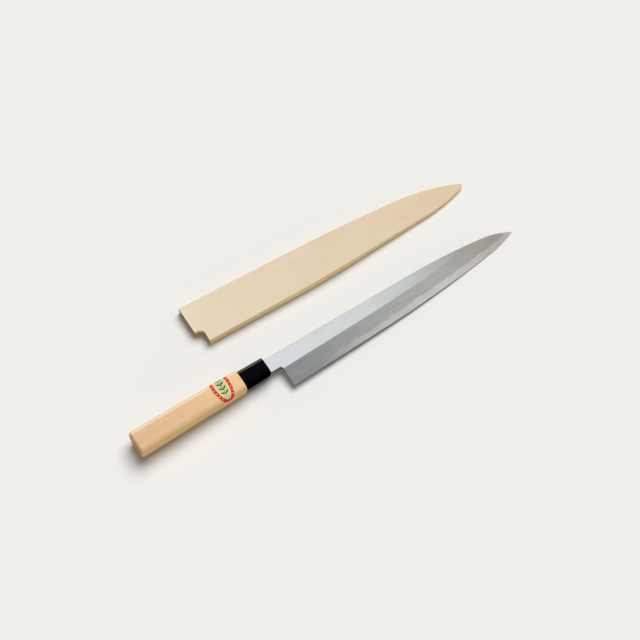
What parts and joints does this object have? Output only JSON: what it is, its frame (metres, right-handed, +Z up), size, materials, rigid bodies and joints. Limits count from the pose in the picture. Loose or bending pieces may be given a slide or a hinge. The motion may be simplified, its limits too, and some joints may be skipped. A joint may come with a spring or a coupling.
{
  "type": "slicing knife with cover",
  "caption": "Long slender slicing knife, bevelled on one side, with a D-shaped wooden handle and a dark ferrule, lying beside its notched wooden blade cover.",
  "frame": {"origin": "middle of the knife and its cover as they lie side by side, on the surface under them", "axes": "+X along the handle from the butt towards the tip, +Y from the cutting edge to the spine and on to the cover, +Z up from the surface"},
  "size_m": [0.3783, 0.1128, 0.0225],
  "materials": {
    "hard_steel": "satin, ground along the blade",
    "soft_iron": "satin, hazy on the bevel",
    "ferrule": "polished black",
    "grip_wood": "bare, sanded smooth",
    "label_paper": "matt printed",
    "cover_wood": "bare, sanded smooth"
  },
  "bodies": {
    "knife": {"hard_steel": "hard_steel", "soft_iron": "soft_iron", "ferrule": "ferrule", "grip": "grip_wood", "paper_label": "label_paper"},
    "cover": {"cover_front_board": "cover_wood", "cover_back_board": "cover_wood"}
  },
  "joints": [
    {"name": "cover_draw", "type": "slide", "parent": "knife", "child": "cover", "axis": [0.9979, -0.0645, 0], "range_m": [0, 0.25]}
  ]
}
